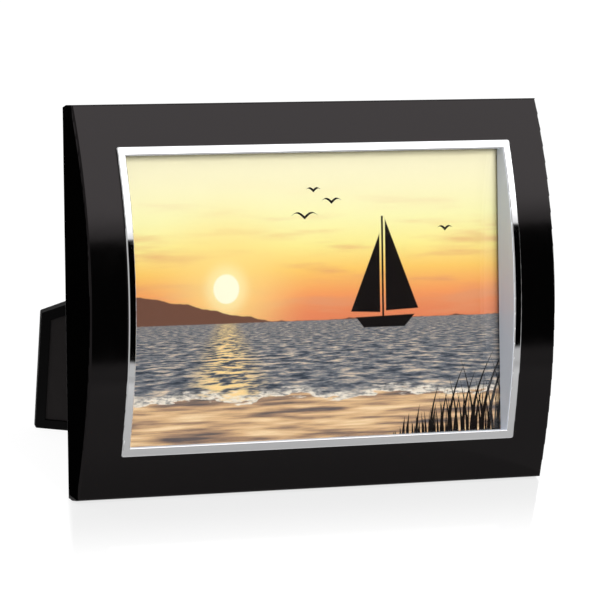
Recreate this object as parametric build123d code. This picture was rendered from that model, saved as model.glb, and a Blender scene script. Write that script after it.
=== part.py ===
from build123d import *
import os
from math import cos, radians, sin, sqrt, tan

# Table-top photo frame with a bowed front and a diagonal easel leg, in millimetres.
# Pieces are drawn upright: x to the right from the middle, y backwards from the flat back plane,
# z up from the bottom edge. The whole frame is then leaned back onto its bottom rest strip, so that
# the origin lies in the middle of that strip, +Z is up and the front looks along -Y.

# Outer form
border_width = 15.0
bulge = 11.2
lean_angle = 17.4
rest_strip_depth = 2.8
front_edge_round = 0.7
back_edge_round = 0.5

# Front fascia
fascia_wall = 2.0
fascia_clearance = 0.15
fascia_headroom = 0.25
boss_radius = 3.0

# Print, glass and what presses them together
print_width = 150.0
print_height = 100.0
print_thickness = 0.3
print_gap = 0.05
glass_thickness = 2.0
card_thickness = 2.8
panel_thickness = 3.0
pane_margin = 0.2
pocket_clearance = 0.3

# Chrome trim
trim_overlap = 2.0
trim_wall = 1.2
trim_face = 3.0
trim_raise = 0.75
trim_corner_round = 0.8
trim_edge_round = 0.45
trim_clearance = 0.3
trim_seat_gap = 0.03
snap_count = 3
snap_length = 8.0
snap_reach = 0.7

# Rear frame and its screws
rear_plate = 2.4
pocket_wall = 1.5
rear_edge_break = 0.3
screw_radius = 1.1
screw_length = 5.2
screw_head_radius = 2.1
screw_head_height = 1.1
screw_head_round = 0.3
screw_head_clearance = 0.15
screw_hole_clearance = 0.02
drive_slot_width = 0.5
drive_slot_length = 2.4
drive_slot_depth = 0.6

# Turn buttons
button_thickness = 1.6
button_radius = 3.0
button_overlap = 5.0
button_play = 0.1
button_rib_width = 0.8
button_rib_length = 4.2
button_rib_height = 0.6
button_rib_pitch = 1.8
button_rib_count = 3
button_shift = 38.0
button_edge_round = 0.4
pivot_radius = 1.5
pivot_clearance = 0.05
pivot_head_radius = 2.5
pivot_head_height = 1.3
pivot_head_round = 0.4
pivot_screw_depth = 4.4
pivot_boss_radius = 2.6
pivot_boss_height = 5.0

# Easel leg
leg_open_angle = 32.0
hinge_inset = 89.7
neck_half_width = 13.0
neck_length = 36.0
shoulder_half_width = 31.4
shoulder_reach = 85.0
leg_root_thickness = 5.0
leg_tip_thickness = 2.2
leg_taper_start = 12.0
leg_gap = 1.4
leg_heel = 5.0
leg_foot_rim = 3.2
leg_side_rim = 3.7
leg_recess_depth = 1.2
leg_recess_start = 9.0
leg_corner_round = 0.7
leg_edge_round = 0.5
inlay_thickness = 0.6
inlay_clearance = 0.15

# Leg hinge
hinge_pin_radius = 1.25
hinge_bore_clearance = 0.05
hinge_ear_clearance = 0.02
pin_head_radius = 2.0
pin_head_height = 0.8
pin_head_round = 0.3
bracket_sheet = 1.0
bracket_side_gap = 0.4
bracket_ear_margin = 1.9
bracket_back_reach = 13.0
bracket_corner_round = 2.0
stop_gap = 0.05
rivet_radius = 1.5
rivet_head_radius = 2.6
rivet_head_height = 0.9
rivet_head_round = 0.45
rivet_inset = 4.2
rivet_spacing = 18.0
rivet_recess_clearance = 0.2
rivet_hole_clearance = 0.02

# Sizes that follow from the ones above
frame_width = print_width + 2 * border_width
frame_height = print_height + 2 * border_width
half_height = frame_height / 2
rest_strip_rise = rest_strip_depth * tan(radians(lean_angle))

pane_width = print_width + 2 * pane_margin
pane_height = print_height + 2 * pane_margin
pocket_width = pane_width + 2 * pocket_clearance
pocket_height = pane_height + 2 * pocket_clearance
card_front = panel_thickness + card_thickness
print_front = card_front + print_thickness
glass_back = print_front + print_gap
glass_front = glass_back + glass_thickness

# The bowed front is an arc that keeps its headroom over the corner of the glass pocket.
arc_radius = (half_height**2 + bulge**2) / (2 * bulge)
pocket_top = pocket_height / 2 + pocket_wall
arc_centre_y = sqrt((arc_radius - fascia_wall) ** 2 - pocket_top**2) - glass_front - fascia_headroom
frame_depth = arc_radius - arc_centre_y
edge_depth = frame_depth - bulge

opening_width = print_width - 2 * trim_overlap
opening_height = print_height - 2 * trim_overlap
trim_width = opening_width + 2 * trim_face
trim_height = opening_height + 2 * trim_face
trim_wall_width = opening_width + 2 * trim_wall
trim_wall_height = opening_height + 2 * trim_wall
window_width = trim_wall_width + 2 * trim_clearance
window_height = trim_wall_height + 2 * trim_clearance

border_middle_x = (frame_width + pocket_width) / 4
border_middle_z = (frame_height + pocket_height) / 4
screw_places = [
    (side * border_middle_x, half_height + level * border_middle_z)
    for side in (-1, 1)
    for level in (-1, 1)
]
button_side_reach = border_middle_x - pocket_width / 2 + button_overlap
button_end_reach = border_middle_z - pocket_height / 2 + button_overlap
button_places = {
    "turn_button_left": ((-border_middle_x, half_height), (1, 0), button_side_reach),
    "turn_button_right": ((border_middle_x, half_height), (-1, 0), button_side_reach),
    "turn_button_top": ((button_shift, half_height + border_middle_z), (0, -1), button_end_reach),
    "turn_button_bottom": ((button_shift, half_height - border_middle_z), (0, 1), button_end_reach),
}

# The hinge line crosses the back at 45 degrees, as far from the left edge as from the bottom edge,
# so that the leg carries the frame both lying wide and standing tall.
leg_inner = -leg_root_thickness / 2
hinge_back = leg_gap - leg_inner
hinge_point = (-frame_width / 2 + hinge_inset, hinge_back, hinge_inset)
hinge_line = (1, 0, -1)
open_normal = (
    sin(radians(leg_open_angle)) / sqrt(2),
    cos(radians(leg_open_angle)),
    sin(radians(leg_open_angle)) / sqrt(2),
)
leg_closed = Plane(origin=hinge_point, x_dir=hinge_line, z_dir=(0, 1, 0))
leg_open = Plane(origin=hinge_point, x_dir=hinge_line, z_dir=open_normal)
leg_middle = Plane(origin=hinge_point, x_dir=(0, 1, 0), z_dir=hinge_line)
leg_blank_length = hinge_inset * sqrt(2)

lean_back = Rot(-lean_angle, 0, 0) * Pos(0, rest_strip_depth / 2, -rest_strip_rise / 2)
big = 4 * max(frame_width, frame_height)
tolerance = 0.001
outer_side_angle = 20.0


def slab(width, height, back, front):
    """Block centred on the frame, from one depth ahead of the back plane to another."""
    middle = (back + front) / 2
    return Pos(0, -middle, half_height) * Box(width, front - back, height)


def front_cylinder(offset):
    """The cylinder of the bowed front, moved out from the fascia's face by an offset."""
    return Pos(0, arc_centre_y, half_height) * Rot(0, 90, 0) * Cylinder(arc_radius + offset, big)


def front_depth(height_from_middle, offset):
    """Depth of the bowed front ahead of the back plane at a height above the middle."""
    return sqrt((arc_radius + offset) ** 2 - height_from_middle**2) - arc_centre_y


def peg(place, radius, back, front):
    """Round bar square to the back plane, between two depths ahead of it."""
    middle = (back + front) / 2
    return Pos(place[0], -middle, place[1]) * Rot(90, 0, 0) * Cylinder(radius, front - back)


def cross_slot(place, back):
    """Cross recess cut into a screw head whose outer face lies at a given depth."""
    middle = back + drive_slot_depth / 2
    bar = Box(drive_slot_length, drive_slot_depth, drive_slot_width)
    return Pos(place[0], -middle, place[1]) * (bar + Rot(0, 90, 0) * bar)


def rest_bevels():
    """Wedges off the bottom and top back edges: the bottom one lies flat when the frame leans back."""
    along_bottom = Polygon((0, 0), (-rest_strip_depth, 0), (0, rest_strip_rise), align=None)
    bottom = extrude(Plane.YZ * along_bottom, amount=big, both=True)
    return [bottom, mirror(bottom, about=Plane.XY.offset(half_height))]


def make_front_fascia():
    outer = slab(frame_width, frame_height, 0, big) & front_cylinder(0)
    outer = fillet(outer.edges().filter_by(Axis.Z), back_edge_round)
    rim_edges = outer.edges().filter_by(lambda edge: edge.center().Y < -edge_depth + front_edge_round / 2)
    outer = fillet(rim_edges, front_edge_round)
    outer -= rest_bevels()
    cavity = slab(frame_width - 2 * fascia_wall, frame_height - 2 * fascia_wall, -big, big)
    fascia = outer - (cavity & front_cylinder(-fascia_wall))
    for place in screw_places:
        fascia += peg(place, boss_radius, rear_plate, big) & outer
        fascia -= peg(place, screw_radius + screw_hole_clearance, 0, screw_head_height + screw_length)
    return fascia - slab(window_width, window_height, -big, big)


def on_trim_front(edge):
    """True for an edge whose ends and middle lie on the raised face of the trim."""
    points = [edge @ share for share in (0, 0.5, 1)]
    return all(abs(front_depth(point.Z - half_height, trim_raise) + point.Y) < tolerance for point in points)


def make_chrome_trim():
    lip = slab(trim_width, trim_height, 0, big)
    lip = fillet(lip.edges().filter_by(Axis.Y), trim_corner_round)
    face = (front_cylinder(trim_raise) - front_cylinder(trim_seat_gap)) & lip
    wall = front_cylinder(trim_raise) & slab(trim_wall_width, trim_wall_height, glass_front, big)
    trim = face + wall - slab(opening_width, opening_height, -big, big)
    trim = fillet(trim.edges().filter_by(on_trim_front), trim_edge_round)
    snap_end = trim_wall_height / 2 + snap_reach
    snap_front = front_depth(snap_end, -fascia_wall) - trim_clearance
    snaps = slab(snap_length, 2 * snap_end, glass_front, snap_front)
    snaps -= slab(snap_length, opening_height, -big, big)
    for index in range(snap_count):
        along = (index - (snap_count - 1) / 2) * opening_width / snap_count
        trim += Pos(along, 0, 0) * snaps
    return trim


def on_pocket_mouth(edge):
    """True for an edge around the pocket's opening in the back plane."""
    middle = edge.center()
    beside = abs(middle.X) < pocket_width / 2 + tolerance
    level = abs(middle.Z - half_height) < pocket_height / 2 + tolerance
    return beside and level and abs(middle.Y) < tolerance


def make_rear_frame():
    gap = fascia_wall + fascia_clearance
    plate = slab(frame_width - 2 * gap, frame_height - 2 * gap, 0, rear_plate)
    plate = chamfer(plate.edges().group_by(Axis.Y)[-1], rear_edge_break)
    pocket = slab(pocket_width + 2 * pocket_wall, 2 * pocket_top, 0, glass_front)
    frame = plate + pocket
    for place in screw_places:
        frame -= peg(place, screw_radius + screw_head_clearance, -big, big)
        frame -= peg(place, screw_head_radius + screw_head_clearance, -big, screw_head_height)
    for place, _, _ in button_places.values():
        frame += peg(place, pivot_boss_radius, 0, pivot_boss_height)
        frame -= peg(place, screw_radius + screw_hole_clearance, -big, pivot_screw_depth)
    frame -= slab(pocket_width, pocket_height, -big, big)
    return chamfer(frame.edges().filter_by(on_pocket_mouth), rear_edge_break)


def make_rear_frame_screws():
    screws = []
    for place in screw_places:
        head = peg(place, screw_head_radius, 0, screw_head_height)
        head = fillet(head.edges().group_by(Axis.Y)[-1], screw_head_round)
        shank = peg(place, screw_radius, 0, screw_head_height + screw_length)
        screws.append(head + shank - cross_slot(place, 0))
    return screws


def make_turn_button(place, pointing, reach):
    pivot_plane = Plane(
        origin=(place[0], button_play, place[1]), x_dir=(pointing[0], 0, pointing[1]), z_dir=(0, 1, 0)
    )
    tab_length = reach - button_radius
    outline = Pos(tab_length / 2, 0) * SlotCenterToCenter(tab_length, 2 * button_radius)
    tab = extrude(outline, amount=button_thickness)
    tab = fillet(tab.edges().group_by(Axis.Z)[-1], button_edge_round)
    rib_root = button_thickness / 2
    rib_top = button_thickness + button_rib_height
    rib = Box(button_rib_width, button_rib_length, rib_top - rib_root)
    for index in range(button_rib_count):
        along = tab_length - index * button_rib_pitch
        tab += Pos(along, 0, (rib_root + rib_top) / 2) * rib
    tab -= Cylinder(pivot_radius + pivot_clearance, big)
    return pivot_plane.location * tab


def make_turn_button_screws():
    screws = []
    neck = button_thickness + 2 * button_play
    for place, _, _ in button_places.values():
        head = peg(place, pivot_head_radius, -neck - pivot_head_height, -neck)
        head = fillet(head.edges().group_by(Axis.Y)[-1], pivot_head_round)
        shank = peg(place, screw_radius, -neck, pivot_screw_depth)
        shoulder = peg(place, pivot_radius, -neck, 0)
        screws.append(head + shoulder + shank - cross_slot(place, -neck - pivot_head_height))
    return screws


def rivet_points():
    """Rivet centres on the back panel, beside the hinge line on the side away from the leg."""
    back = bracket_back_reach - rivet_inset
    return [leg_closed.from_local_coords((side * rivet_spacing / 2, -back, 0)) for side in (-1, 1)]


def make_back_panel():
    panel = slab(pane_width, pane_height, 0, panel_thickness)
    for point in rivet_points():
        place = (point.X, point.Z)
        panel -= peg(place, rivet_radius + rivet_hole_clearance, -big, big)
        tail_radius = rivet_head_radius + rivet_recess_clearance
        panel -= peg(place, tail_radius, panel_thickness - rivet_head_height, big)
    return panel


def make_leg_hinge_bracket():
    ear_inside = neck_half_width + bracket_side_gap
    ear_outside = ear_inside + bracket_sheet
    ear_radius = hinge_pin_radius + bracket_ear_margin
    base_middle = (ear_radius - bracket_back_reach) / 2
    base_sketch = RectangleRounded(2 * ear_outside, bracket_back_reach + ear_radius, bracket_corner_round)
    bracket = Pos(0, base_middle, -hinge_back) * extrude(base_sketch, amount=bracket_sheet)
    ear_post = Pos(0, 0, -hinge_back / 2) * Box(bracket_sheet, 2 * ear_radius, hinge_back)
    ear = ear_post + Rot(0, 90, 0) * Cylinder(ear_radius, bracket_sheet)
    for side in (-1, 1):
        bracket += Pos(side * (ear_inside + ear_outside) / 2, 0, 0) * ear
    bracket -= Rot(0, 90, 0) * Cylinder(hinge_pin_radius + hinge_ear_clearance, big)
    rivet_back = rivet_inset - bracket_back_reach
    for side in (-1, 1):
        bracket -= Pos(side * rivet_spacing / 2, rivet_back, 0) * Cylinder(
            rivet_radius + rivet_hole_clearance, big
        )
    return leg_closed.location * bracket


def make_leg_hinge_rivets():
    rivets = []
    for point in rivet_points():
        place = (point.X, point.Z)
        head = peg(place, rivet_head_radius, -bracket_sheet - rivet_head_height, -bracket_sheet)
        head = fillet(head.edges().group_by(Axis.Y)[-1], rivet_head_round)
        shank = peg(place, rivet_radius, -bracket_sheet, panel_thickness)
        tail = peg(place, rivet_head_radius, panel_thickness - rivet_head_height, panel_thickness)
        rivets.append(head + shank + tail)
    return rivets


def make_leg_hinge_pin():
    half_length = neck_half_width + bracket_side_gap + bracket_sheet
    pin = Rot(0, 90, 0) * Cylinder(hinge_pin_radius, 2 * half_length)
    head = Cylinder(pin_head_radius, pin_head_height)
    head = fillet(head.edges().group_by(Axis.Z)[-1], pin_head_round)
    for side in (-1, 1):
        pin += Pos(side * (half_length + pin_head_height / 2), 0, 0) * Rot(0, side * 90, 0) * head
    return leg_closed.location * pin


def leg_outline():
    """Outline of the leg before its feet are cut, seen square to its face with the hinge line at zero."""
    flare = (shoulder_half_width - neck_half_width) / (shoulder_reach - neck_length)
    end_half_width = neck_half_width + flare * (leg_blank_length - neck_length)
    return Polygon(
        (-neck_half_width, -leg_heel),
        (neck_half_width, -leg_heel),
        (neck_half_width, neck_length),
        (end_half_width, leg_blank_length),
        (-end_half_width, leg_blank_length),
        (-neck_half_width, neck_length),
        align=None,
    )


def make_leg():
    """Leg at its stop: a tapering moulded plate whose two feet are cut by the floor of either stance."""
    side_view = Polygon(
        (-leg_heel, leg_inner),
        (leg_blank_length, leg_inner),
        (leg_blank_length, leg_inner + leg_tip_thickness),
        (leg_taper_start, leg_inner + leg_root_thickness),
        (-leg_heel, leg_inner + leg_root_thickness),
        align=None,
    )
    blank = extrude(leg_outline(), amount=big, both=True)
    blank &= extrude(Plane.YZ * side_view, amount=big, both=True)
    blank -= Rot(0, 90, 0) * Cylinder(hinge_pin_radius + hinge_bore_clearance, big)
    leg = leg_open.location * blank
    under_floor = lean_back.inverse() * (Pos(0, 0, -big / 2) * Box(big, big, big))
    leg -= under_floor
    leg -= mirror(under_floor, about=leg_middle)
    leg -= Pos(0, -big / 2 + bracket_sheet + stop_gap, 0) * Box(big, big, big)
    return leg


def leg_tray(leg, inset):
    """Room of the shallow tray in the leg's inner face, drawn in from its rims by a further inset."""
    inner_face = leg.faces().filter_by(leg_open).sort_by(Axis(hinge_point, open_normal))[0]
    tray = offset(inner_face, amount=-leg_foot_rim - inset, kind=Kind.INTERSECTION)
    room = extrude(tray, amount=leg_recess_depth, dir=open_normal)
    between = offset(leg_outline(), amount=-leg_side_rim - inset, kind=Kind.INTERSECTION)
    room &= leg_open.location * extrude(between, amount=big, both=True)
    return room & leg_open.location * (Pos(0, leg_recess_start + inset + big / 2, 0) * Box(big, big, big))


def round_corners(leg):
    """Rounds the tip and the two shoulders of the leg, where its sides and feet meet."""
    corners = []
    for edge in leg.edges().filter_by(GeomType.LINE):
        turn = (edge % 0).get_angle(Vector(open_normal))
        across_plate = min(turn, 180 - turn) < leg_open_angle
        if across_plate and leg_open.to_local_coords(edge.center()).Y > (neck_length + shoulder_reach) / 2:
            corners.append(edge)
    return fillet(corners, leg_corner_round)


def round_outer_side(leg):
    """Rounds the edges around the leg's outer side, but not the shallow bend where its taper starts."""
    rim = []
    for face in leg.faces():
        if face.normal_at().get_angle(Vector(open_normal)) < outer_side_angle:
            for edge in face.edges():
                if abs(leg_open.to_local_coords(edge.center()).Y - leg_taper_start) > tolerance:
                    rim.append(edge)
    return fillet(rim, leg_edge_round)


def export_node(name, solids):
    placed = [lean_back * solid for solid in solids]
    shape = placed[0] if len(placed) == 1 else Compound(children=placed)
    export_step(shape, os.path.join("parts", name + ".step"))


leg_blank = make_leg()
inlay_lift = [-(leg_recess_depth - inlay_thickness) * part for part in open_normal]
inlay_room = leg_tray(leg_blank, inlay_clearance)

nodes = {
    "front_fascia": [make_front_fascia()],
    "chrome_trim": [make_chrome_trim()],
    "glass_pane": [slab(pane_width, pane_height, glass_back, glass_front)],
    "photo_print": [slab(print_width, print_height, card_front, print_front)],
    "backing_card": [slab(pane_width, pane_height, panel_thickness, card_front)],
    "back_panel": [make_back_panel()],
    "rear_frame": [make_rear_frame()],
    "rear_frame_screws": make_rear_frame_screws(),
    "turn_button_screws": make_turn_button_screws(),
    "leg_hinge_bracket": [make_leg_hinge_bracket()],
    "leg_hinge_rivets": make_leg_hinge_rivets(),
    "leg_hinge_pin": [make_leg_hinge_pin()],
    "leg": [round_outer_side(round_corners(leg_blank)) - leg_tray(leg_blank, 0)],
    "leg_inlay": [inlay_room - Pos(*inlay_lift) * inlay_room],
}
for button_name, (place, pointing, reach) in button_places.items():
    nodes[button_name] = [make_turn_button(place, pointing, reach)]

os.makedirs("parts", exist_ok=True)
for node_name, node_solids in nodes.items():
    export_node(node_name, node_solids)
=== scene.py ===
import bpy
from math import radians
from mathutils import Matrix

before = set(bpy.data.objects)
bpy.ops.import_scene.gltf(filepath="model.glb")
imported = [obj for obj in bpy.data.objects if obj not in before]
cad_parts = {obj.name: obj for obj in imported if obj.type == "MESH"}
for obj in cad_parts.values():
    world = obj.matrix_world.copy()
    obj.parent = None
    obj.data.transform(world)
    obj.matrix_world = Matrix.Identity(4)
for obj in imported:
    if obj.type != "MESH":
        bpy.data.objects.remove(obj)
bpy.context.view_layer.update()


# Front fascia: the bowed face of the frame, a thin shell moulded in one piece from gloss black plastic.
# The tool is polished, so the face mirrors the room; wiping leaves faint smears and hairlines on it.
def fill(tree, node, inputs):
    """Fills a node's inputs with plain values, or with links where sockets are given."""
    for key, value in inputs.items():
        if isinstance(value, bpy.types.NodeSocket):
            tree.links.new(value, node.inputs[key])
        else:
            node.inputs[key].default_value = value


def put(tree, kind, inputs, **options):
    """Adds a shader node to a tree, sets its options and fills its inputs."""
    node = tree.nodes.new("ShaderNode" + kind)
    for name, value in options.items():
        setattr(node, name, value)
    fill(tree, node, inputs)
    return node


def noise(place, scale, detail, roughness=0.5, distortion=0.0):
    """Noise at the places that a vector socket gives, in the same tree as that socket."""
    inputs = {
        "Vector": place, "Scale": scale, "Detail": detail,
        "Roughness": roughness, "Distortion": distortion,
    }
    return put(place.id_data, "TexNoise", inputs).outputs["Fac"]


def ramp_value(value, low, high, at_low=0.0, at_high=1.0, easing="SMOOTHSTEP"):
    """Runs from one end value to the other as a socket runs from low to high, and stays at the ends."""
    inputs = {"Value": value, "From Min": low, "From Max": high, "To Min": at_low, "To Max": at_high}
    return put(value.id_data, "MapRange", inputs, interpolation_type=easing).outputs[0]


def ramp_colour(value, stops):
    """Runs through the colours of the stops, each with its place, as a socket runs from 0 to 1."""
    node = put(value.id_data, "ValToRGB", {"Fac": value})
    elements = node.color_ramp.elements
    while len(elements) < len(stops):
        elements.new(0.5)
    for element, (place, colour) in zip(elements, stops):
        element.position = place
        element.color = (*colour, 1)
    return node.outputs["Color"]


def relief(height, strength, distance, below=None, **options):
    """Normals of a surface with a fine relief, laid over those of a coarser relief where they are given."""
    inputs = {"Height": height, "Strength": strength, "Distance": distance}
    if below is not None:
        inputs["Normal"] = below
    return put(height.id_data, "Bump", inputs, **options).outputs[0]


def new_group(name, inputs, outputs):
    """Starts a node group; its inputs come with socket types and values, its outputs with socket types."""
    group = bpy.data.node_groups.new(name, "ShaderNodeTree")
    for socket_name, (socket_type, value) in inputs.items():
        socket = group.interface.new_socket(socket_name, in_out="INPUT", socket_type=socket_type)
        socket.default_value = value
    for socket_name, socket_type in outputs.items():
        group.interface.new_socket(socket_name, in_out="OUTPUT", socket_type=socket_type)
    return group, group.nodes.new("NodeGroupInput").outputs, group.nodes.new("NodeGroupOutput")


def place_group(tree, group, inputs):
    """Places a node group in a material with its own values and returns its outputs."""
    return put(tree, "Group", inputs, node_tree=group).outputs


def new_finish(name):
    """Starts a material; returns it with its node tree, its Principled shader and its Object coordinates."""
    material = bpy.data.materials.new(name)
    material.use_nodes = True
    tree = material.node_tree
    return material, tree, tree.nodes["Principled BSDF"], put(tree, "TexCoord", {}).outputs["Object"]


def coat_nodes(material, *node_names):
    """Gives a finish to CAD nodes."""
    for node_name in node_names:
        for material_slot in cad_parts[node_name].material_slots:
            material_slot.material = material


# Smears of a polished face that is wiped by hand, as a roughness, and hairlines across it, as a height
handling_smears, given, result = new_group(
    "handling_smears",
    {
        "Vector": ("NodeSocketVector", (0, 0, 0)),
        "Smear Scale": ("NodeSocketFloat", 60),
        "Cleanest": ("NodeSocketFloat", 0.04),
        "Dullest": ("NodeSocketFloat", 0.12),
    },
    {"Roughness": "NodeSocketFloat", "Hairlines": "NodeSocketFloat"},
)
patches = noise(given["Vector"], given["Smear Scale"], detail=5, roughness=0.6, distortion=0.8)
wiping_turn = (0.3, 0.5, 0.9)
wiping_scale = (40, 2200, 900)
wiped = put(
    handling_smears, "Mapping", {"Vector": given["Vector"], "Rotation": wiping_turn, "Scale": wiping_scale},
)
wiping_lines = noise(wiped.outputs[0], scale=1, detail=2)
fill(
    handling_smears, result,
    {
        "Roughness": ramp_value(patches, 0.42, 0.78, at_low=given["Cleanest"], at_high=given["Dullest"]),
        "Hairlines": ramp_value(wiping_lines, 0.66, 0.74, easing="LINEAR"),
    },
)

deep_black = (0.0004, 0.0004, 0.0004)
streaky_black = (0.0010, 0.0009, 0.0009)
warm_gloss = (1.0, 0.90, 0.92, 1)

gloss_black, tree, shader, coords = new_finish("gloss_black_fascia")
smears = place_group(
    tree, handling_smears, {"Vector": coords, "Smear Scale": 45, "Cleanest": 0.09, "Dullest": 0.13},
)
pigment = noise(coords, scale=30, detail=3)
orange_peel = relief(noise(coords, scale=260, detail=1), strength=0.02, distance=0.0002)
hairlines = relief(smears["Hairlines"], strength=0.03, distance=0.00002, below=orange_peel, invert=True)
fill(
    tree, shader,
    {
        "Base Color": ramp_colour(pigment, [(0.0, deep_black), (1.0, streaky_black)]),
        "Roughness": smears["Roughness"],
        "Normal": hairlines,
        "Specular IOR Level": 0.28,
        "Specular Tint": warm_gloss,
    },
)
coat_nodes(gloss_black, "front_fascia")


# Chrome trim: a bright band around the window, moulded in plastic, plated, and snapped into the fascia.
# The plating follows the small waves of the moulding under it, so its reflections wander a little.
# The wall that lines the recess is coated in a satin silver lacquer instead.
def number(operation, *terms):
    """Does a sum with sockets and plain numbers, in the tree of the first socket among them."""
    tree = next(term.id_data for term in terms if isinstance(term, bpy.types.NodeSocket))
    return put(tree, "Math", dict(enumerate(terms)), operation=operation).outputs[0]


def blend(mask, below, above, kind="RGBA"):
    """Lays one colour, or one number, over another where a mask is white."""
    inputs = {"Factor": mask, "A": below, "B": above}
    return put(mask.id_data, "Mix", inputs, data_type=kind).outputs["Result"]


# How far the frame leans back, and how far up its back plane the middle of the window is
lean_angle = radians(17.4)
window_middle = 0.0645613
half_window_width = 0.0731
half_window_height = 0.0481
dull_silver = (0.84, 0.84, 0.85)
bright_silver = (0.92, 0.92, 0.93)
silver_lacquer = (0.84, 0.88, 0.96, 1)
satin_roughness = 0.5

chrome, tree, shader, coords = new_finish("plated_trim")
smears = place_group(
    tree, handling_smears, {"Vector": coords, "Smear Scale": 90, "Cleanest": 0.03, "Dullest": 0.07},
)
upright = put(
    tree, "Mapping",
    {"Vector": coords, "Location": (0, 0, -window_middle), "Rotation": (lean_angle, 0, 0)},
)
off_middle = put(tree, "VectorMath", {0: upright.outputs[0]}, operation="ABSOLUTE")
off_sideways, _, off_upwards = put(tree, "SeparateXYZ", {0: off_middle.outputs[0]}).outputs
inner_wall = number(
    "MULTIPLY",
    number("LESS_THAN", off_sideways, half_window_width),
    number("LESS_THAN", off_upwards, half_window_height),
)
plate_tone = noise(coords, scale=25, detail=3)
silver = ramp_colour(plate_tone, [(0.0, dull_silver), (1.0, bright_silver)])
fill(
    tree, shader,
    {
        "Base Color": blend(inner_wall, silver, silver_lacquer),
        "Roughness": blend(inner_wall, smears["Roughness"], satin_roughness, kind="FLOAT"),
        "Metallic": number("SUBTRACT", 1.0, inner_wall),
        "Normal": relief(noise(coords, scale=120, detail=1), strength=0.06, distance=0.0002),
    },
)
coat_nodes(chrome, "chrome_trim")


# Glass pane: a 2 mm sheet of clear float glass with cut edges, held in the pocket behind the trim.
# It is clean apart from faint wiping marks; lamps shine through it onto the print.
glass_tint = (0.98, 0.985, 0.98, 1)
glass_shadow = (0.94, 0.96, 0.95, 1)

clear_glass, tree, shader, coords = new_finish("clear_pane")
smears = place_group(
    tree, handling_smears, {"Vector": coords, "Smear Scale": 35, "Cleanest": 0.0, "Dullest": 0.025},
)
fill(
    tree, shader,
    {"Base Color": glass_tint, "Roughness": smears["Roughness"], "Transmission Weight": 1, "IOR": 1.5},
)
let_through = put(tree, "BsdfTransparent", {"Color": glass_shadow})
lamp_ray = put(tree, "LightPath", {}).outputs["Is Shadow Ray"]
pane = put(tree, "MixShader", {0: lamp_ray, 1: shader.outputs[0], 2: let_through.outputs[0]})
fill(tree, tree.nodes["Material Output"], {"Surface": pane.outputs[0]})
coat_nodes(clear_glass, "glass_pane")


# Print: a 15 by 10 cm sheet of coated photographic paper behind the glass, showing an evening at sea.
# It is printed edge to edge: sky, a low sun, a headland, a sailing boat, surf, wet sand and dune grass.
# Places in the picture are counted from its middle, in halves of its height.
def grain(across, up, scales, detail=4.0, shift=0.0):
    """Noise over the picture, with its own scale across and up; a shift gives another noise."""
    place = put(across.id_data, "CombineXYZ", {0: across, 1: up})
    stretched = put(
        across.id_data, "Mapping",
        {"Vector": place.outputs[0], "Location": (0, 0, shift), "Scale": (*scales, 1)},
    )
    return noise(stretched.outputs[0], scale=1, detail=detail)


def long_side(first, second):
    """Length of the long side over two sides that meet at a right angle."""
    return number("SQRT", number("ADD", number("POWER", first, 2), number("POWER", second, 2)))


def line_distance(start, end):
    """Distance of each place in the picture to the left of the line from start to end."""
    run = end[0] - start[0]
    rise = end[1] - start[1]
    length = (run * run + rise * rise) ** 0.5
    by_height = number("MULTIPLY", number("SUBTRACT", up, start[1]), run / length)
    by_width = number("MULTIPLY", number("SUBTRACT", across, start[0]), rise / length)
    return number("SUBTRACT", by_height, by_width)


def silhouette(corners):
    """Mask of a shape in the picture with straight sides, whose corners run anticlockwise."""
    inside, *others = [line_distance(start, end) for start, end in zip(corners, corners[1:] + corners[:1])]
    for other in others:
        inside = number("MINIMUM", inside, other)
    return ramp_value(inside, -silhouette_blur, silhouette_blur)


half_print = 0.05
picture_left = -1.5
picture_foot = -1.0
horizon = -0.17
horizon_blur = 0.004
silhouette_blur = 0.003
cloud_red = (0.78, 0.33, 0.17, 1)
headland_brown = (0.17, 0.075, 0.05, 1)
glint_gold = (1.0, 0.70, 0.32, 1)
foam_white = (0.90, 0.80, 0.70, 1)
against_light = (0.006, 0.004, 0.004, 1)

print_paper, tree, shader, coords = new_finish("evening_print")
on_print = put(
    tree, "Mapping",
    {
        "Vector": coords,
        "Location": (0, 0, -window_middle / half_print),
        "Rotation": (lean_angle, 0, 0),
        "Scale": (1 / half_print,) * 3,
    },
)
across, _, up = put(tree, "SeparateXYZ", {0: on_print.outputs[0]}).outputs

# Sky with streaks of cloud low down, and glows around the sun, each with its edge, heart and strength
sky_top = 0.96
cloud_top = 0.85
cloud_foot = 0.05
cloud_strength = 0.75
cloud_edge = (0.48, 0.70)
sun_across = -0.66
sun_up = 0.06
sun_glows = [
    (0.70, 0.05, 0.75, (1.0, 0.72, 0.26, 1)),
    (0.22, 0.06, 0.8, (1.0, 0.88, 0.48, 1)),
    (0.105, 0.09, 1.0, (1.0, 0.96, 0.74, 1)),
]
sky = ramp_colour(
    ramp_value(up, horizon, sky_top),
    [
        (0.0, (0.80, 0.24, 0.11)),
        (0.06, (0.92, 0.34, 0.12)),
        (0.22, (0.98, 0.60, 0.15)),
        (0.42, (0.98, 0.84, 0.31)),
        (0.66, (0.98, 0.91, 0.48)),
        (1.0, (1.0, 0.91, 0.64)),
    ],
)
streaks = ramp_value(grain(across, up, (1.1, 9.0), detail=7.0), *cloud_edge)
low_in_sky = ramp_value(up, cloud_top, cloud_foot, at_high=cloud_strength)
sky = blend(number("MULTIPLY", streaks, low_in_sky), sky, cloud_red)
from_sun = long_side(number("SUBTRACT", across, sun_across), number("SUBTRACT", up, sun_up))
for glow_edge, glow_heart, glow_strength, glow_colour in sun_glows:
    sky = blend(ramp_value(from_sun, glow_edge, glow_heart, at_high=glow_strength), sky, glow_colour)

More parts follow.
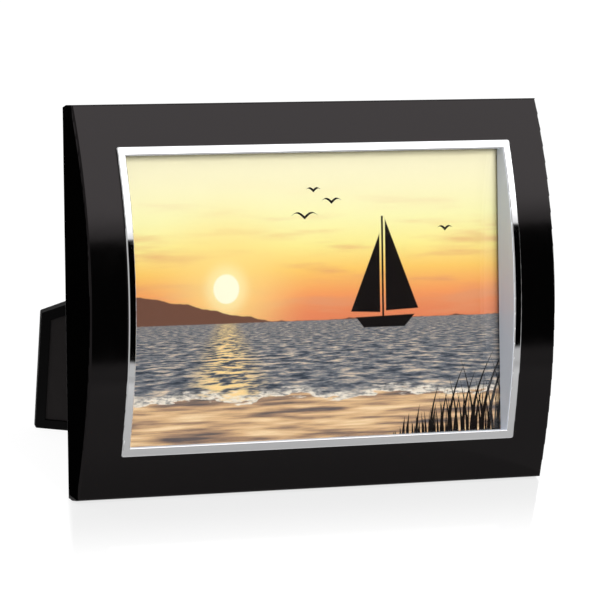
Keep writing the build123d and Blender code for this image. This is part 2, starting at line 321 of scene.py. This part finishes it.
# Headland that rises from the horizon towards the left, with an uneven ridge
headland_tip = -0.15
headland_height = 0.2
ridge_wander = 0.07
ridge_sink = 0.035
ridge_edge = (0.006, -0.002)
slope = ramp_value(across, headland_tip, picture_left, at_high=headland_height)
ridge = number("MULTIPLY_ADD", grain(across, 0.0, (5, 1)), ridge_wander, slope)
above_ridge = number("SUBTRACT", up, number("ADD", ridge, horizon - ridge_sink))
sky = blend(ramp_value(above_ridge, *ridge_edge), sky, headland_brown)

# Sea, whose waves grow smaller towards the horizon, with the sun's glint on it
least_depth = 0.07
chop_share = 0.45
glint_spread = 0.55
glint_root = 0.09
glint_fade = (1.3, 0.1)
glinting_crests = (0.44, 0.58)
depth = number("MAXIMUM", number("SUBTRACT", horizon, up), 0.0)
distance = number("DIVIDE", 1.0, number("ADD", depth, least_depth))
along_waves = number("MULTIPLY", across, distance)
swell = grain(along_waves, distance, (2.4, 8.5), detail=10.0, shift=3.0)
chop = grain(along_waves, distance, (8.0, 26.0), detail=6.0, shift=9.0)
swell = number("MULTIPLY_ADD", number("SUBTRACT", chop, 0.5), chop_share, swell)
sea = ramp_colour(
    swell,
    [
        (0.34, (0.035, 0.045, 0.065)),
        (0.46, (0.120, 0.130, 0.160)),
        (0.55, (0.270, 0.260, 0.270)),
        (0.63, (0.560, 0.450, 0.370)),
        (0.72, (0.860, 0.660, 0.480)),
    ],
)
glint_width = number("MULTIPLY_ADD", depth, glint_spread, glint_root)
off_glint = number("ABSOLUTE", number("DIVIDE", number("SUBTRACT", across, sun_across), glint_width))
glint = number("MULTIPLY", ramp_value(off_glint, *glint_fade), ramp_value(swell, *glinting_crests))
sea = blend(glint, sea, glint_gold)

# Wet sand in the foreground, up to a shore line that wanders, with a lace of foam along it
shore_up = -0.80
shore_wander = 0.26
foam_wander = 0.16
water_edge = (0.070, 0.080)
foam_front = (0.062, 0.078)
foam_back = (0.135, 0.085)
lace_holes = (0.36, 0.56)
thinnest_lace = 0.25
shore_noise = grain(across, 0.0, (1.4, 1), detail=3.0, shift=7.0)
shore_line = number("MULTIPLY_ADD", shore_noise, shore_wander, shore_up)
sand = ramp_colour(
    grain(across, up, (1.6, 24.0), detail=8.0, shift=1.0),
    [
        (0.36, (0.14, 0.11, 0.11)),
        (0.45, (0.42, 0.26, 0.17)),
        (0.53, (0.74, 0.47, 0.26)),
        (0.64, (0.94, 0.68, 0.42)),
    ],
)
foam_fringe = grain(across, up, (7.0, 30.0), detail=9.0, shift=5.0)
foam_edge = number("MULTIPLY_ADD", foam_fringe, foam_wander, number("SUBTRACT", up, shore_line))
foam = number("MULTIPLY", ramp_value(foam_edge, *foam_front), ramp_value(foam_edge, *foam_back))
bubbles = grain(across, up, (22.0, 60.0), detail=6.0, shift=13.0)
lace = ramp_value(bubbles, *lace_holes, at_low=thinnest_lace)
shore = blend(ramp_value(foam_edge, *water_edge), sand, sea)
shore = blend(number("MULTIPLY", foam, lace), shore, foam_white)
picture = blend(ramp_value(up, horizon - horizon_blur, horizon + horizon_blur), shore, sky)

# Sailing boat against the light
boat_hull = [(0.34, -0.16), (0.40, -0.23), (0.72, -0.23), (0.80, -0.15)]
boat_mast = [(0.545, -0.17), (0.560, -0.17), (0.560, 0.52), (0.545, 0.52)]
boat_sail = [(0.575, -0.12), (0.83, -0.11), (0.575, 0.50)]
boat_jib = [(0.30, -0.12), (0.530, -0.13), (0.530, 0.40)]
for corners in [boat_hull, boat_mast, boat_sail, boat_jib]:
    picture = blend(silhouette(corners), picture, against_light)

# Gulls with arched wings, each with its place and the length of a wing
gulls = [(-0.05, 0.52, 0.10), (0.16, 0.62, 0.075), (0.02, 0.70, 0.055), (1.05, 0.42, 0.06)]
wing_turn = 2.6
wing_arch = 0.34
wing_root = 0.011
wing_tip = 0.001
for gull_across, gull_up, wing in gulls:
    along_wing = number("ABSOLUTE", number("SUBTRACT", across, gull_across))
    arch = number("SINE", number("MULTIPLY", along_wing, wing_turn / wing))
    arch = number("MULTIPLY", arch, wing * wing_arch)
    from_wing = number("ABSOLUTE", number("SUBTRACT", number("SUBTRACT", up, gull_up), arch))
    on_wing = number("LESS_THAN", from_wing, ramp_value(along_wing, 0.0, wing, wing_root, wing_tip))
    gull = number("MULTIPLY", on_wing, number("LESS_THAN", along_wing, wing))
    picture = blend(gull, picture, against_light)

# Dune grass at the right: layers of blades, each with its pitch, bend, tallest blade and place in the noise
grass_tufts = [(0.055, 0.55, 0.95, 3.1), (0.041, -0.35, 0.70, 11.7), (0.033, 0.2, 0.5, 27.3)]
grass_start = 0.45
grass_full = 1.35
shortest_blade = 0.3
blade_width = 0.3
above_ground = number("SUBTRACT", up, picture_foot)
for blade_pitch, bend, tallest, shift in grass_tufts:
    bowed = number("MULTIPLY", number("POWER", number("MAXIMUM", above_ground, 0.0), 2), bend)
    leaning = number("SUBTRACT", across, bowed)
    blades = put(
        tree, "TexVoronoi",
        {"W": number("ADD", number("DIVIDE", leaning, blade_pitch), shift), "Scale": 1, "Randomness": 0.8},
        voronoi_dimensions="1D",
    ).outputs
    reach = number("MULTIPLY", ramp_value(leaning, grass_start, grass_full), tallest)
    blade_share = number("MULTIPLY_ADD", blades["Color"], 1 - shortest_blade, shortest_blade)
    reach = number("MULTIPLY", reach, blade_share)
    taper = number("SUBTRACT", 1.0, number("DIVIDE", above_ground, number("MAXIMUM", reach, 0.001)))
    blade = number("LESS_THAN", blades["Distance"], number("MULTIPLY", taper, blade_width))
    picture = blend(blade, picture, against_light)

paper_tooth = noise(coords, scale=900, detail=2)
fill(
    tree, shader,
    {
        "Base Color": picture,
        "Roughness": ramp_value(paper_tooth, 0.3, 0.7, at_low=0.38, at_high=0.48),
        "Specular IOR Level": 0.2,
    },
)
coat_nodes(print_paper, "photo_print")


# Backing card: a thick grey paperboard that presses the print against the glass.
# It is cut from recycled board, so short fibres and flecks show on its faces and edges.
def new_board(name, dark, pale, roughness):
    """Starts a finish of pressed board between two tones."""
    material, tree, shader, coords = new_finish(name)
    fibres = place_group(
        tree, board_fibres, {"Vector": coords, "Fibre Scale": 650, "Dark": dark, "Pale": pale},
    )
    fill(
        tree, shader,
        {
            "Base Color": fibres["Color"],
            "Roughness": roughness,
            "Normal": relief(fibres["Height"], strength=0.25, distance=0.0001),
        },
    )
    return material


# Tone of pressed board, whose fibres lie every way with darker flecks, and the same as a height
board_fibres, given, result = new_group(
    "board_fibres",
    {
        "Vector": ("NodeSocketVector", (0, 0, 0)),
        "Fibre Scale": ("NodeSocketFloat", 700),
        "Dark": ("NodeSocketColor", (0.1, 0.1, 0.1, 1)),
        "Pale": ("NodeSocketColor", (0.2, 0.2, 0.2, 1)),
    },
    {"Color": "NodeSocketColor", "Height": "NodeSocketFloat"},
)
lay = put(board_fibres, "TexNoise", {"Vector": given["Vector"], "Scale": 90, "Detail": 2})
bent = put(board_fibres, "VectorMath", {0: given["Vector"], 1: lay.outputs["Color"]}, operation="ADD")
fibre = noise(bent.outputs[0], given["Fibre Scale"], detail=6, roughness=0.7, distortion=1.2)
fibre_tone = ramp_value(fibre, 0.3, 0.7, easing="LINEAR")
fill(
    board_fibres, result,
    {"Color": blend(fibre_tone, given["Dark"], given["Pale"]), "Height": fibre_tone},
)

grey_card = new_board(
    "grey_paperboard", dark=(0.30, 0.28, 0.26, 1), pale=(0.46, 0.44, 0.41, 1), roughness=0.9,
)
coat_nodes(grey_card, "backing_card")


# Back panel: a 3 mm hardboard lid that closes the pocket and carries the leg's hinge.
# The board is pressed from wood fibre and dyed dark brown-black right through.
dark_board = new_board(
    "dark_hardboard", dark=(0.029, 0.024, 0.024, 1), pale=(0.051, 0.043, 0.043, 1), roughness=0.8,
)
coat_nodes(dark_board, "back_panel")


# Rear frame: the moulded ring that holds glass, print, card and panel and closes the fascia from behind.
# Its tool is spark-eroded, so the matt black plastic has a fine even grain, a little rubbed in places.
def new_moulding(name, dark, pale, specular):
    """Starts a finish of grained black plastic between two tones."""
    material, tree, shader, coords = new_finish(name)
    moulded = place_group(tree, moulded_grain, {"Vector": coords, "Grain Scale": 1500})
    fill(
        tree, shader,
        {
            "Base Color": ramp_colour(moulded["Tone"], [(0.0, dark), (1.0, pale)]),
            "Roughness": moulded["Roughness"],
            "Normal": relief(moulded["Height"], strength=0.3, distance=0.00015),
            "Specular IOR Level": specular,
        },
    )
    return material


# Fine spark-eroded grain as a height, with the roughness and the tone of its rubbed places
moulded_grain, given, result = new_group(
    "moulded_grain",
    {"Vector": ("NodeSocketVector", (0, 0, 0)), "Grain Scale": ("NodeSocketFloat", 1600)},
    {"Height": "NodeSocketFloat", "Roughness": "NodeSocketFloat", "Tone": "NodeSocketFloat"},
)
pits = put(moulded_grain, "TexVoronoi", {"Vector": given["Vector"], "Scale": given["Grain Scale"]})
rubbed = noise(given["Vector"], scale=55, detail=4)
fill(
    moulded_grain, result,
    {
        "Height": pits.outputs["Distance"],
        "Roughness": ramp_value(rubbed, 0.35, 0.7, at_low=0.5, at_high=0.66, easing="LINEAR"),
        "Tone": rubbed,
    },
)

matt_black = new_moulding(
    "matt_black_moulding", dark=(0.0050, 0.0048, 0.0049), pale=(0.0090, 0.0086, 0.0086), specular=0.2,
)
coat_nodes(matt_black, "rear_frame")


# Frame screws: four pan-head screws with cross recesses that pull the rear frame into the fascia.
# They are zinc-plated steel, as are the pivot screws of the buttons and all the leg's hinge parts.
dull_zinc = (0.42, 0.42, 0.41)
bright_zinc = (0.60, 0.60, 0.60)

zinc_steel, tree, shader, coords = new_finish("zinc_plated_steel")
bloom = noise(coords, scale=220, detail=4, roughness=0.6)
fill(
    tree, shader,
    {
        "Base Color": ramp_colour(bloom, [(0.35, dull_zinc), (0.65, bright_zinc)]),
        "Roughness": ramp_value(bloom, 0.35, 0.65, at_low=0.38, at_high=0.24, easing="LINEAR"),
        "Metallic": 1,
        "Normal": relief(noise(coords, scale=2600, detail=2), strength=0.12, distance=0.00005),
    },
)
coat_nodes(zinc_steel, "rear_frame_screws")


# Turn buttons: four ribbed tabs on the rear frame that hold the back panel in its pocket.
# Each is moulded in the rear frame's plastic and swings on its own shouldered screw.
coat_nodes(matt_black, "turn_button_left", "turn_button_right", "turn_button_top", "turn_button_bottom")
coat_nodes(zinc_steel, "turn_button_screws")


# Leg hinge: a folded sheet bracket riveted to the back panel, with a headed pin through its two ears.
# The pin crosses the back at 45 degrees, so the one leg serves both stances.
coat_nodes(zinc_steel, "leg_hinge_bracket", "leg_hinge_rivets", "leg_hinge_pin")


# Easel leg: a tapering plate, moulded in black plastic, that folds out and stops against the bracket.
# Its inner side has a shallow tray, lined with a sheet of the dark hardboard.
# Painted shade: the leg's finish is the rear frame's grained black made darker and less glossy, for the
# shade it stands in.
leg_black_painted_shade = new_moulding(
    "leg_moulding_painted_shade", dark=(0.0030, 0.0028, 0.0029), pale=(0.0055, 0.0052, 0.0053), specular=0.13,
)
coat_nodes(leg_black_painted_shade, "leg")
coat_nodes(dark_board, "leg_inlay")


# Floor: a wide sheet of white acrylic that the frame stands on, plain white to the eye.
# A strip in front of the frame is polished and mirrors it faintly; the strip's ends are cut at a slant.
# In front of the frame the sheet's glow, as the gloss surfaces mirror it, is painted darker: a painted
# shade.
floor_size = 40
floor_grey = (0.16, 0.16, 0.16, 1)
floor_glow = (0.92, 0.92, 0.92, 1)
painted_front_shade = 0.33
shade_end = 0.3
strip_slant = 0.486
strip_middle = 0.004
half_strip = 0.093
strip_back = 0.004
strip_back_blur = 0.006
strip_front = -0.01
strip_fade = 0.07
end_sharpness = 20.0
strip_polish = 0.21

bpy.ops.object.select_all(action="DESELECT")
bpy.ops.mesh.primitive_plane_add(size=floor_size)
floor = bpy.context.object
floor.name = "floor"
acrylic, tree, shader, coords = new_finish("white_acrylic")
sideways, backwards, _ = put(tree, "SeparateXYZ", {0: coords}).outputs
along_strip = number("MULTIPLY_ADD", backwards, -strip_slant, sideways)
off_strip_middle = number("ABSOLUTE", number("SUBTRACT", along_strip, strip_middle))
past_end = number("MAXIMUM", number("SUBTRACT", off_strip_middle, half_strip), 0.0)
past_front = number("MAXIMUM", number("SUBTRACT", strip_front, backwards), 0.0)
off_strip = long_side(number("MULTIPLY", past_end, end_sharpness), past_front)
polish = number(
    "MULTIPLY",
    ramp_value(off_strip, strip_fade, 0.0, at_high=strip_polish),
    ramp_value(backwards, strip_back, strip_back - strip_back_blur),
)
ray = put(tree, "LightPath", {}).outputs
mirrored = number("MAXIMUM", ray["Is Glossy Ray"], ray["Is Transmission Ray"])
# Painted shade: the glow that reflections see is dimmed in front of the frame.
mirrored = number("MULTIPLY", mirrored, ramp_value(backwards, 0.0, shade_end, at_low=painted_front_shade))
fill(
    tree, shader,
    {
        "Base Color": floor_grey,
        "Specular IOR Level": 0,
        "Emission Color": floor_glow,
        "Emission Strength": number("MAXIMUM", ray["Is Camera Ray"], mirrored),
    },
)
haze = noise(coords, scale=3, detail=3)
sheen = ramp_value(haze, 0.3, 0.7, at_low=0.05, at_high=0.08, easing="LINEAR")
top_coat = put(tree, "BsdfPrincipled", {"Base Color": (1, 1, 1, 1), "Metallic": 1, "Roughness": sheen})
polished = put(tree, "MixShader", {0: polish, 1: shader.outputs[0], 2: top_coat.outputs[0]})
fill(tree, tree.nodes["Material Output"], {"Surface": polished.outputs[0]})
floor.data.materials.append(acrylic)


# Studio: a white room, grey in front of the frame, with a dark doorway at the front right and a softbox
# over it. The gloss surfaces mirror these; seen directly, the room is plain white. A lamp lights the frame
# from the front. A black sheet on the floor at the left, seen only in reflections, is a painted dark
# reflection that keeps the frame's left end black.
soft_light = 0.75
front_wall = 0.5
front_blur = 0.15
door_foot = (0.034, 0.05)
door_head = (0.407, 0.415)
door_side = (0.1, 0.35)
softbox_way = (0.492, -0.629, 0.602)
softbox_rim = (0.90, 0.95)
softbox_foot = (0.40, 0.50)
softbox_foot_level = 0.15
softbox_strength = 1.7

studio = bpy.data.worlds.new("studio")
bpy.context.scene.world = studio
studio.use_nodes = True
tree = studio.node_tree
way = put(tree, "TexCoord", {}).outputs["Generated"]
way_right, way_back, way_up = put(tree, "SeparateXYZ", {0: way}).outputs
in_front = ramp_value(way_back, front_blur, -front_blur)
door_height = number("MULTIPLY", ramp_value(way_up, *door_foot), ramp_value(way_up, *reversed(door_head)))
door_width = number("MULTIPLY", in_front, ramp_value(way_right, *door_side))
beside_door = number("SUBTRACT", 1.0, number("MULTIPLY", door_width, door_height))
walls = number("MULTIPLY", blend(in_front, 1.0, front_wall, kind="FLOAT"), beside_door)
towards_softbox = put(tree, "VectorMath", {0: way, 1: softbox_way}, operation="DOT_PRODUCT").outputs["Value"]
softbox = number(
    "MULTIPLY", ramp_value(way_up, *door_head), ramp_value(way_up, *softbox_foot, at_low=softbox_foot_level),
)
softbox = number("MULTIPLY", softbox, ramp_value(towards_softbox, *softbox_rim))
mirrored_room = number("MULTIPLY_ADD", softbox, softbox_strength, walls)
ray = put(tree, "LightPath", {}).outputs
mirrored = number("MAXIMUM", ray["Is Glossy Ray"], ray["Is Transmission Ray"])
strength = blend(mirrored, soft_light, mirrored_room, kind="FLOAT")
strength = blend(ray["Is Camera Ray"], strength, 1.0, kind="FLOAT")
fill(tree, tree.nodes["Background"], {"Color": (1, 1, 1, 1), "Strength": strength})

lamp_size = 0.7
lamp_watts = 26
lamp_place = (0.1, -1.5, 0.95)
lamp_turn = (radians(59.5), 0, radians(3.8))
key_lamp = bpy.data.lights.new("key_softbox", "AREA")
key_lamp.shape = "SQUARE"
key_lamp.size = lamp_size
key_lamp.energy = lamp_watts
key = bpy.data.objects.new("key_softbox", key_lamp)
bpy.context.collection.objects.link(key)
key.location = lamp_place
key.rotation_euler = lamp_turn
key.visible_glossy = False
key.visible_transmission = False

# Painted dark reflection: a black sheet that only the gloss surfaces see, so the frame's left end mirrors
# black.
flag_size = 0.5
flag_place = (-0.3402, 0.244, 0.001)
painted_reflection_black = (0.002, 0.002, 0.002, 1)
bpy.ops.mesh.primitive_plane_add(size=flag_size, location=flag_place)
flag = bpy.context.object
flag.name = "dark_flag"
reflection_sheet_finish, tree, shader, _ = new_finish("reflection_only_black")
fill(tree, shader, {"Base Color": painted_reflection_black, "Specular IOR Level": 0})
underside = put(tree, "NewGeometry", {}).outputs["Backfacing"]
clear = put(tree, "BsdfTransparent", {})
open_below = put(tree, "MixShader", {0: underside, 1: shader.outputs[0], 2: clear.outputs[0]})
fill(tree, tree.nodes["Material Output"], {"Surface": open_below.outputs[0]})
flag.data.materials.append(reflection_sheet_finish)
flag.visible_camera = False
flag.visible_shadow = False
flag.visible_diffuse = False


# Camera: a long lens in front of the frame, to its left and above it, at the photograph's viewing angle.
# It is rolled by about eight degrees, as the photograph's upright lines ask.
focal_length = 343.543
sensor_width = 36
camera_place = (-0.963714, -1.550747, 0.624111)
camera_turn = (1.270576, -0.136301, -0.507873)
lens = bpy.data.cameras.new("camera")
lens.lens = focal_length
lens.sensor_width = sensor_width
camera = bpy.data.objects.new("camera", lens)
bpy.context.collection.objects.link(camera)
camera.location = camera_place
camera.rotation_euler = camera_turn
bpy.context.scene.camera = camera
bpy.context.scene.view_settings.view_transform = "Standard"
